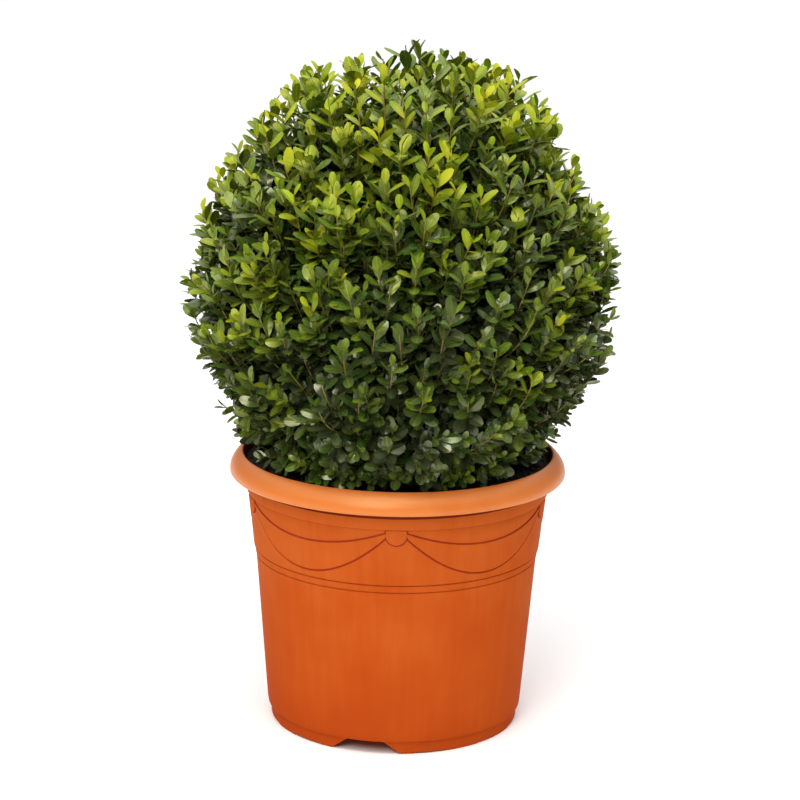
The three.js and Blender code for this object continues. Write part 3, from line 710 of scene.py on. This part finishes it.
def boss_mesh(angle):
    """A tab with a rounded end, crowned, with a line of painted shade round it."""
    turn = np.linspace(0, math.pi, BOSS_ROUND_POINTS)
    end = [(BOSS_HALF * math.cos(t), BOSS_ROUND - BOSS_ROUND * math.sin(t)) for t in turn]
    outline = np.array([(BOSS_HALF, 1.0), *end, (-BOSS_HALF, 1.0)])
    points = []
    for scale, proud, _ in BOSS_RINGS:
        for across, up in BOSS_MIDDLE + (outline - BOSS_MIDDLE) * scale:
            z = BOSS_LOW + (COLLAR_Z - BOSS_LOW) * min(up, 1.0)
            points.append(around(angle + across, interpolated(POT_UPPER, z) + proud, z) * MM)
    faces = grid_faces(len(BOSS_RINGS), len(outline))[:, ::-1]
    slots = np.repeat([slot for _, _, slot in BOSS_RINGS[1:]], len(outline))
    return points, faces, slots


def pad_mesh(low_angle, high_angle):
    """A low pad under the foot between two angles."""
    angles = np.linspace(low_angle, high_angle, PAD_COLUMNS)
    points = [around(angle, radius, z) * MM for angle in angles for radius, z in PAD_SECTION]
    last = len(points) - 4
    ends = [[3, 2, 1, 0], [last, last + 1, last + 2, last + 3]]
    return points, np.vstack([grid_faces(PAD_COLUMNS, 4), ends]), WALL


def make_pot(materials):
    """The pot in one piece: the shell, its bosses and the pads under its foot."""
    angles = [360 * i / POT_COLUMNS for i in range(POT_COLUMNS)]
    sections = [pot_section(angle) for angle in angles]
    rows = len(sections[0])
    points = [
        around(angle, section[row][0], section[row][1]) * MM
        for row in range(rows) for angle, section in zip(angles, sections)
    ]
    points, ends = closed_ends(np.array(points), rows, POT_COLUMNS)
    row_slots = np.array([[slot for _, _, slot in section] for section in sections]).T
    slots = np.append(np.minimum(row_slots[:-1], row_slots[1:]), np.full(len(ends), WALL))
    pot = Bundle()
    pot.take(points, np.vstack([grid_faces(rows, POT_COLUMNS), ends]), slots)
    for angle in BOSS_ANGLES:
        pot.take(*boss_mesh(angle))
    for notch in NOTCH_ANGLES:
        for low, high in PADS_FROM_NOTCH:
            pot.take(*pad_mesh(notch + low, notch + high))
    piece = pot.piece("pot_shell", materials)
    piece.data.set_sharp_from_angle(angle=SHARP_ANGLE)
    return piece


# Compost

def make_compost(material, rng):
    """The top of the compost, uneven and strewn with granules, on a plug that fills the pot."""
    plug = np.array(SOIL_PLUG) * MM
    radii = np.concatenate([plug[:, 0], SOIL_RINGS])
    heights = np.concatenate([plug[:, 1], np.full(len(SOIL_RINGS), SOIL_Z)])
    points = []
    for k, (radius, z) in enumerate(zip(radii, heights)):
        for i in range(SOIL_COLUMNS):
            p = around(360 * i / SOIL_COLUMNS, radius, z)
            if k > len(plug):
                p[2] += sum(height * noise.noise(Vector(p * fineness)) for height, fineness in SOIL_RELIEF)
            points.append(p)
    points, ends = closed_ends(np.array(points), len(radii), SOIL_COLUMNS)
    compost = Bundle()
    compost.take(points, np.vstack([grid_faces(len(radii), SOIL_COLUMNS), ends]), 0)
    size = rng.uniform(*GRANULE_SIZES, GRANULES) * MM
    spots = np.sqrt(rng.uniform(*GRANULE_SPOTS, GRANULES)) * (SOIL_RADIUS - GRANULES_FROM_EDGE)
    turns = rng.uniform(0, 360, GRANULES)
    cube = np.array([[x, y, z] for z in (-1, 1) for x, y in ((-1, -1), (1, -1), (1, 1), (-1, 1))]) * 0.5
    sides = np.array([[3, 2, 1, 0], [4, 5, 6, 7], [0, 1, 5, 4], [1, 2, 6, 5], [2, 3, 7, 6], [3, 0, 4, 7]])
    for k in range(GRANULES):
        middle = around(turns[k], spots[k], SOIL_Z + GRANULE_LIFT)
        spin = np.linalg.qr(rng.normal(size=(3, 3)))[0]
        corners = (cube * size[k] * rng.uniform(*GRANULE_SQUASH, (8, 3))) @ spin.T + middle
        compost.take(corners, sides, 0)
    return compost.piece("compost_top", [material])


# Limbs

def bezier(a, b, c, steps):
    t = np.linspace(0, 1, steps + 1)[:, None]
    return (1 - t) ** 2 * a + 2 * t * (1 - t) * b + t ** 2 * c


def smooth_path(knots, steps):
    """A smooth path through all its knots."""
    knots = np.array([2 * knots[0] - knots[1], *knots, 2 * knots[-1] - knots[-2]])
    t = np.linspace(0, 1, steps, endpoint=False)[:, None]
    points = []
    for a, b, c, d in zip(knots, knots[1:], knots[2:], knots[3:]):
        squared = (2 * a - 5 * b + 4 * c - d) * t ** 2
        cubed = (3 * b - a - 3 * c + d) * t ** 3
        points.append(0.5 * (2 * b + (c - a) * t + squared + cubed))
    return np.vstack(points + [knots[-2][None]])


def tangents(path):
    along = np.gradient(path, axis=0)
    return along / np.linalg.norm(along, axis=1)[:, None]


def ring_frames(path):
    """Two directions square to a path at each of its points, turned as little as possible from one point to
    the next."""
    along = tangents(path)
    first = np.cross(along[0], UP if abs(along[0][2]) < STEEP else [1.0, 0.0, 0.0])
    across = []
    for direction in along:
        first = unit(first - direction * np.dot(first, direction))
        across.append((first, np.cross(direction, first)))
    return across


def tube(path, radii, sides, ridge=0.0, grain=0.0):
    """Points and faces of a limb along a path. The bark's ridge and grain are shares of the limb's radius."""
    turn = 2 * math.pi * np.arange(sides) / sides
    points = []
    for at, (u, v), radius in zip(path, ring_frames(path), radii):
        ring = at + radius * (np.cos(turn)[:, None] * u + np.sin(turn)[:, None] * v)
        if ridge:
            for k in range(sides):
                spot = Vector((ring[k] - at) / MM * RIDGE_ACROSS) + Vector((0, 0, at[2] * RIDGE_ALONG))
                lift = ridge * noise.noise(spot * RIDGE_FINENESS)
                lift += grain * noise.noise(Vector(ring[k] * GRAIN_FINENESS))
                ring[k] += (ring[k] - at) * lift
        points.append(ring)
    return np.vstack(points), grid_faces(len(path), sides)


def leader_path():
    """The leader's path, on up from the trunk's tip."""
    foot = TRUNK_LEAN + np.array([0, 0, FORK_Z + LIMB_GAP])
    above_foot = foot + UP * LEADER_UPRIGHT[0]
    below_tip = LEADER_TIP - UP * LEADER_UPRIGHT[1]
    return smooth_path([foot, above_foot, LEADER_MIDDLE, below_tip, LEADER_TIP], LEADER_STEPS)


def bough_path(index):
    """The path of a side's bough, out and up from the trunk."""
    angle = SECTOR * index
    higher, further = (most * math.sin(index * pace) for most, pace in BOUGH_TIP_DRIFTS)
    root = TRUNK_LEAN * BOUGH_ROOT_LEAN + np.array([0, 0, BOUGH_ROOT_Z[index] * MM])
    bend = around(angle, BOUGH_BEND_RADIUS, (BOUGH_ROOT_Z[index] + BOUGH_BEND_RISE) * MM)
    tip = around(angle + further, BOUGH_TIP_RADIUS, (BOUGH_TIP_Z + higher) * MM)
    return bezier(root, bend, tip, BOUGH_STEPS)


def make_limbs(material):
    """Trunk, leader and boughs with ridged bark, each in place of its solid."""
    share = np.linspace(0, 1, TRUNK_ROWS)
    path = TRUNK_LEAN * share[:, None] + UP * (TRUNK_FOOT_Z + (FORK_Z - TRUNK_FOOT_Z) * share[:, None])
    flare = (TRUNK_FOOT_RADIUS - TRUNK_RADIUS) * (1 - share) ** TRUNK_FLARE
    limbs = [("trunk", path, TRUNK_RADIUS + flare - share * MM, TRUNK_SIDES)]
    others = [("leader", leader_path())] + [("bough_" + side, bough_path(k)) for k, side in enumerate(SIDES)]
    for node, path in others:
        limbs.append((node, path, np.linspace(*BOUGH_RADII, len(path)), BOUGH_SIDES))
    for node, path, radii, sides in limbs:
        points, faces = tube(path, radii, sides, ridge=BARK_RIDGE, grain=BARK_GRAIN)
        points, ends = closed_ends(points, len(path), sides)
        limb = Bundle()
        limb.take(points, np.vstack([faces, ends]), 0)
        place(limb.piece("bark_" + node, [material]), "bark", node)


# Ball

def swell(direction):
    """How much the ball swells or dips in a direction, as a share of its radius."""
    closeness = math.exp((float(np.dot(direction, CLOSE_CLIP)) - 1) / CLOSE_CLIP_WIDTH)
    swelling = BALL_SWELL * noise.noise(Vector(direction) * SWELL_FINENESS + SWELL_START)
    return swelling - CLOSE_CLIP_DEPTH * closeness


def ball_reach(height):
    """The ball's half sizes, which differ over and under its middle."""
    return np.array([BALL_RADIUS, BALL_RADIUS, BALL_HEIGHT if height > 0 else BALL_DEPTH])


def ball_point(direction, share):
    """The point a share of the way from the middle of the ball to its surface, in a direction."""
    out = share * (1 + swell(direction))
    return BALL_MIDDLE + out * direction * ball_reach(direction[2])


def outside_ball(point):
    """How far a point lies outside the ball."""
    from_middle = point - BALL_MIDDLE
    scaled = from_middle / ball_reach(from_middle[2])
    distance = np.linalg.norm(scaled)
    return (distance - 1 - swell(scaled / distance)) * BALL_RADIUS


def spread(count, highest, lowest):
    """Directions spread evenly over the ball between two levels, by the golden angle."""
    level = highest - (highest - lowest) * (np.arange(count) + 0.5) / count
    turn = np.arange(count) * GOLDEN
    flat = np.sqrt(1 - level ** 2)
    return np.stack([flat * np.sin(turn), -flat * np.cos(turn), level], axis=1)


def mass_of(point):
    """The mass that a point of the crown belongs to: a side's index, or -1 for the cap on top."""
    if math.atan2(math.hypot(point[0], point[1]), point[2] - CAP_APEX_Z) < CAP_HALF_ANGLE:
        return -1
    return round(math.degrees(math.atan2(point[0], -point[1])) / SECTOR) % len(SIDES)


# Leaves

def leaf_template():
    """Points of one leaf as (across, along) in three strips, its right half, the midrib and its left half,
    with their faces and how many tones lighter each face is."""
    points = []
    faces = []
    lighter = []
    edge = [half for _, half in LEAF_STATIONS]
    rib = [min(RIB_HALF, 0.5 * half) for half in edge]
    left_edge = [-half for half in edge]
    left_rib = [-half for half in rib]
    for inner, outer, lift in ((rib, edge, 0), (left_rib, rib, 1), (left_edge, left_rib, 0)):
        base = len(points)
        for k, (along, _) in enumerate(LEAF_STATIONS):
            points += [(inner[k], along), (outer[k], along)]
        for k in range(base, base + 2 * len(LEAF_STATIONS) - 2, 2):
            faces.append([k, k + 1, k + 3, k + 2])
            lighter.append(lift)
    return np.array(points), np.array(faces), np.array(lighter)


def take_leaves(bundle, leaves):
    """Adds leaves, each a dict of its root, directions, sizes and slot, to a bundle."""
    shape, faces, lighter = leaf_template()
    x = shape[:, 0][None, :, None]
    y = shape[:, 1][None, :, None]
    column = {key: np.array([leaf[key] for leaf in leaves])[:, None] for key in leaves[0]}
    length, width, fold, bend = (column[key][..., None] for key in ("length", "width", "fold", "bend"))
    half = width / 2
    lift = fold * np.abs(x) * half - bend * y ** 2 * length
    points = (column["root"] + column["across"] * x * half
              + column["along"] * y * length * (1 - BEND_SHORTENS * bend * y) + column["face"] * lift)
    starts = (np.arange(len(leaves)) * len(shape))[:, None, None]
    slots = np.minimum(column["slot"] + lighter[None], len(LEAF_LOOKS) - 1)
    bundle.take(points.reshape(-1, 3), (faces[None] + starts).reshape(-1, 4), slots.ravel())


def leaf_tone(height, youth, flush_and_painted_light, drift, chance):
    """The tone of a leaf from 0, the darkest, to 4, the youngest: lighter towards a shoot's tip and on shoots
    in
    flush, with painted light and shade: lighter up the ball, darker on inner shoots, lighter on low ones."""
    score = interpolated(OLDEST_TONE, height) + interpolated(TONE_GAIN, height) * youth ** YOUTH_POWER + flush_and_painted_light
    score += DRIFT_GAIN * drift + CHANCE_GAIN * (chance - 0.5)
    return int(np.searchsorted(TONE_STEPS, score))


def may_stay(leaf, room):
    """Whether a leaf ends clear of the rim and the compost, and no further outside the ball than it may."""
    tip = leaf["root"] + leaf["along"] * leaf["length"]
    clears_rim = tip[2] > OVER_RIM_Z or math.hypot(tip[0], tip[1]) < INSIDE_RIM_RADIUS
    return clears_rim and tip[2] > SOIL_Z + LEAF_OVER_SOIL and outside_ball(tip) < room


def grow_shoot(path, flush_and_painted_light, room, rng):
    """The leaves of one shoot: opposite pairs, each a quarter turn round from the one below, and a small last
    pair. Leaves that may not stay are left out."""
    along = tangents(path)
    side = unit(np.cross(along[0], rng.normal(size=3)))
    turn = rng.uniform(0, math.pi)
    steps = len(path) - 1
    height = float(np.clip((path[-1][2] - LOWEST_TIP_Z) / TABLE_SPAN, 0, 1))
    size = rng.uniform(*SIZE_SPREAD) * interpolated(LEAF_SIZE, height)
    roundness = interpolated(LEAF_ROUNDNESS, height)
    pairs = LEAF_PAIRS + round(LOW_EXTRA_PAIRS * (1 - height))
    leaves = []
    for pair in range(pairs + 1):
        last = pair == pairs
        up = FIRST_PAIR + (1 - FIRST_PAIR) * pair / pairs + rng.uniform(-PAIR_SCATTER, PAIR_SCATTER)
        k = min(LAST_PAIR, up) * steps
        at = path[int(k)] + (k - int(k)) * (path[min(steps, int(k) + 1)] - path[int(k)])
        direction = unit(along[int(round(k))])
        first = unit(side - direction * np.dot(side, direction))
        second = np.cross(direction, first)
        youth = pair / pairs
        opening = math.radians(LEAF_OPENING - TIP_CLOSING * youth ** 2 - (LAST_CLOSING if last else 0))
        grown = size * (LAST_SIZE if last else OLDEST_SIZE + SIZE_GAIN * youth * (SIZE_PEAK - youth))
        for half_turn in (0, math.pi):
            angle = turn + half_turn + rng.uniform(-TURN_SCATTER, TURN_SCATTER)
            out = math.cos(angle) * first + math.sin(angle) * second
            opened = opening + rng.uniform(-OPENING_SCATTER, OPENING_SCATTER)
            lie = math.cos(opened) * direction + math.sin(opened) * out
            face = direction - lie * np.dot(direction, lie)
            light = UP - lie * np.dot(UP, lie)
            face = unit(unit(face) + TO_LIGHT * light + FACE_SCATTER * rng.normal(size=3))
            face = unit(face - lie * np.dot(face, lie))
            drift = noise.noise(Vector(at * DRIFT_FINENESS))
            leaves.append({
                "root": at + out * LEAF_STALK,
                "along": lie,
                "face": face,
                "across": np.cross(lie, face),
                "length": LEAF_LENGTH * grown * rng.uniform(*LENGTHS),
                "width": LEAF_LENGTH * grown * roundness * rng.uniform(*WIDTHS),
                "fold": rng.uniform(*FOLDS),
                "bend": rng.uniform(*BENDS),
                "slot": leaf_tone(height, youth, flush_and_painted_light, drift, rng.random()),
            })
        turn += math.pi / 2
    return [leaf for leaf in leaves if may_stay(leaf, room)]


# Foliage

def shoot_path(direction, depth, raised, rng):
    """A shoot's path: out of the crown, then bending up towards the light, to a tip at a depth under the
    ball's surface, or raised above it."""
    tip = ball_point(direction, 1 - depth) + UP * raised
    normal = unit(direction / np.array([BALL_RADIUS, BALL_RADIUS, BALL_HEIGHT]) ** 2)
    lean = rng.uniform(*SHOOT_LEAN) * interpolated(UPWARD, direction[2])
    final = unit(normal + lean * UP + SHOOT_SCATTER * rng.normal(size=3))
    initial = unit(normal + FOOT_LEAN * UP + FOOT_SCATTER * rng.normal(size=3))
    length = SHOOT_LENGTH * rng.uniform(*LENGTH_SPREAD)
    bend = tip - final * ABOVE_BEND * length
    foot = bend - initial * BELOW_BEND * length
    foot[2] = max(foot[2], SOIL_Z + SHOOT_OVER_SOIL)
    return bezier(foot, bend, tip, SHOOT_STEPS)


def low_shoot_path(angle, rng):
    """The path of a short shoot low round the foot of the ball, out over the compost and up at its end."""
    tip = around(angle, rng.uniform(*LOW_TIP_RADII), rng.uniform(*LOW_TIP_HEIGHTS))
    foot = around(angle + rng.normal(0, LOW_FOOT_SCATTER), LOW_FOOT_RADIUS, SOIL_Z + LOW_OVER_SOIL)
    bend = LOW_BEND[0] * foot + LOW_BEND[1] * tip
    bend[2] = SOIL_Z + LOW_BEND_RISE * (tip[2] - SOIL_Z) + LOW_BEND_LIFT
    return bezier(foot, bend, tip, SHOOT_STEPS)


def crown_shoots(rng):
    """Each shoot of the crown as its path, how far it is raised above the clipped ball and how much lighter
    its leaves are: for a flush of new growth, and as painted shade on inner shoots and painted light on low
    ones."""
    lowest = (LOWEST_TIP_Z - BALL_MIDDLE[2]) / BALL_DEPTH
    for direction in spread(OUTER_SHOOTS, OUTER_TOP, lowest):
        direction = unit(direction + SCATTER * rng.normal(size=3))
        depth = OUTER_DEPTH * rng.random() ** OUTER_DEPTH_POWER
        raised = interpolated(CROWN_GROWTH, direction[2]) * MM
        if direction[2] > RAISED_LEVEL and rng.random() < RAISED_SHARE:
            raised += rng.uniform(*RAISED_BY)
        flush_and_painted_light = FLUSH if rng.random() < FLUSH_SHARE else 0.0
        yield shoot_path(direction, depth, raised, rng), raised, flush_and_painted_light
    for direction in spread(INNER_SHOOTS, INNER_TOP, lowest):
        direction = unit(direction + SCATTER * rng.normal(size=3))
        depth = rng.uniform(*INNER_DEPTH)
        raised = INNER_GROWTH * interpolated(CROWN_GROWTH, direction[2]) * MM
        yield shoot_path(direction, depth, raised, rng), raised, INNER_PAINTED_SHADE
    for k in range(LOW_SHOOTS):
        yield low_shoot_path(math.degrees(k * GOLDEN), rng), LOW_ROOM, LOW_PAINTED_LIGHT


def make_foliage(leaf_materials, twig_materials, rng):
    """Each mass of foliage: a stem on from its bough, limbs to its forks, twigs to its shoots, and their
    leaves."""
    stems = {}
    for index in range(-1, len(SIDES)):
        path = leader_path() if index < 0 else bough_path(index)
        along = tangents(path)[-1]
        stems[index] = (path[-1] + along * LIMB_GAP, along)
    twigs = {index: Bundle() for index in stems}
    foliage = {index: Bundle() for index in stems}
    forks = {index: [] for index in stems}
    for index, (start, along) in stems.items():
        path = np.array([start + along * STEM_LENGTH * share for share in STEM_SHARES])
        twigs[index].take(*tube(path, STEM_RADII, STEM_SIDES), 0)
    for direction in spread(FORKS, *FORK_LEVELS):
        fork = ball_point(direction, FORK_SHARE * rng.uniform(*FORK_SPREAD))
        fork[2] = max(fork[2], SOIL_Z + FORK_OVER_SOIL)
        index = mass_of(fork)
        start, along = stems[index]
        root = start + along * STEM_LENGTH * rng.uniform(*LIMB_START)
        reach = np.linalg.norm(fork - root)
        path = bezier(root, root + along * LIMB_BEND * reach, fork, LIMB_STEPS)
        twigs[index].take(*tube(path, np.linspace(*LIMB_RADII, len(path)) * MM, LIMB_SIDES), 0)
        forks[index].append(fork)
    for path, raised, flush_and_painted_light in crown_shoots(rng):
        leaves = grow_shoot(path, flush_and_painted_light, raised + MOST_OUTSIDE, rng)
        if not leaves:
            continue
        index = mass_of(path[-1])
        start = min(forks[index], key=lambda fork: np.linalg.norm(fork - path[0]))
        reach = np.linalg.norm(path[0] - start)
        bend = path[0] - unit(path[1] - path[0]) * TWIG_BEND * reach
        twig = bezier(start, bend, path[0], TWIG_STEPS)
        twigs[index].take(*tube(twig, np.linspace(*TWIG_RADII, len(twig)) * MM, SHOOT_SIDES), 0)
        points, faces = tube(path, np.linspace(*SHOOT_RADII, len(path)) * MM, SHOOT_SIDES)
        twigs[index].take(points, faces, np.where(np.arange(len(faces)) < WOODY_FACES, 0, 1))
        take_leaves(foliage[index], leaves)
    for index in stems:
        name = "top" if index < 0 else SIDES[index]
        slot = "new_leaf" if index < 0 else "leaf"
        place(foliage[index].piece("leaves_" + name, leaf_materials), slot, "foliage_" + name)
        place(twigs[index].piece("twigs_" + name, twig_materials), "bark", "foliage_" + name)


# Scene

def make_floor():
    mesh = bpy.data.meshes.new("floor")
    corners = [(x * FLOOR_HALF, y * FLOOR_HALF, 0) for x, y in ((-1, -1), (1, -1), (1, 1), (-1, 1))]
    mesh.from_pydata(corners, [], [(0, 1, 2, 3)])
    mesh.materials.append(floor_material())
    floor = bpy.data.objects.new("floor", mesh)
    bpy.context.scene.collection.objects.link(floor)


def soft_light(name, location, aim, size, power, tone):
    """A rectangular lamp at a place, facing another."""
    lamp = bpy.data.lights.new(name, "AREA")
    lamp.shape = "RECTANGLE"
    lamp.size, lamp.size_y = size
    lamp.energy = power
    lamp.color = tone
    light = bpy.data.objects.new(name, lamp)
    direction = Vector(aim) - Vector(location)
    light.location = location
    light.rotation_euler = direction.to_track_quat("-Z", "Y").to_euler()
    bpy.context.scene.collection.objects.link(light)


def make_lights():
    world = bpy.data.worlds.new("studio")
    world.use_nodes = True
    background = world.node_tree.nodes["Background"]
    background.inputs["Color"].default_value = (1.0, 1.0, 1.0, 1.0)
    background.inputs["Strength"].default_value = WORLD_STRENGTH
    bpy.context.scene.world = world
    for lamp in LAMPS:
        soft_light(*lamp)


def make_camera():
    data = bpy.data.cameras.new("camera")
    data.lens = CAMERA_LENS
    data.sensor_width = SENSOR_WIDTH
    camera = bpy.data.objects.new("camera", data)
    back = Vector((0, -math.cos(CAMERA_ELEVATION), math.sin(CAMERA_ELEVATION)))
    camera.location = Vector(CAMERA_AIM) + back * CAMERA_DISTANCE
    look = (-back).to_track_quat("-Z", "Y").to_matrix().to_4x4()
    camera.matrix_world = Matrix.Translation(camera.location) @ look @ Matrix.Rotation(CAMERA_ROLL, 4, "Z")
    bpy.context.scene.collection.objects.link(camera)
    bpy.context.scene.camera = camera


def main():
    rng = np.random.default_rng(SEED)
    make_camera()
    make_lights()
    make_floor()
    bpy.context.scene.view_settings.view_transform = "Standard"
    place(make_pot([pot_material(*look) for look in POT_LOOKS]), "pot", "pot")
    place(make_compost(compost_material(), rng), "compost", "root_ball")
    make_limbs(bark_material(*BARK_LOOK))
    leaf_materials = [leaf_material(*look) for look in LEAF_LOOKS]
    twig_materials = [bark_material(*look) for look in TWIG_LOOKS]
    make_foliage(leaf_materials, twig_materials, rng)


main()
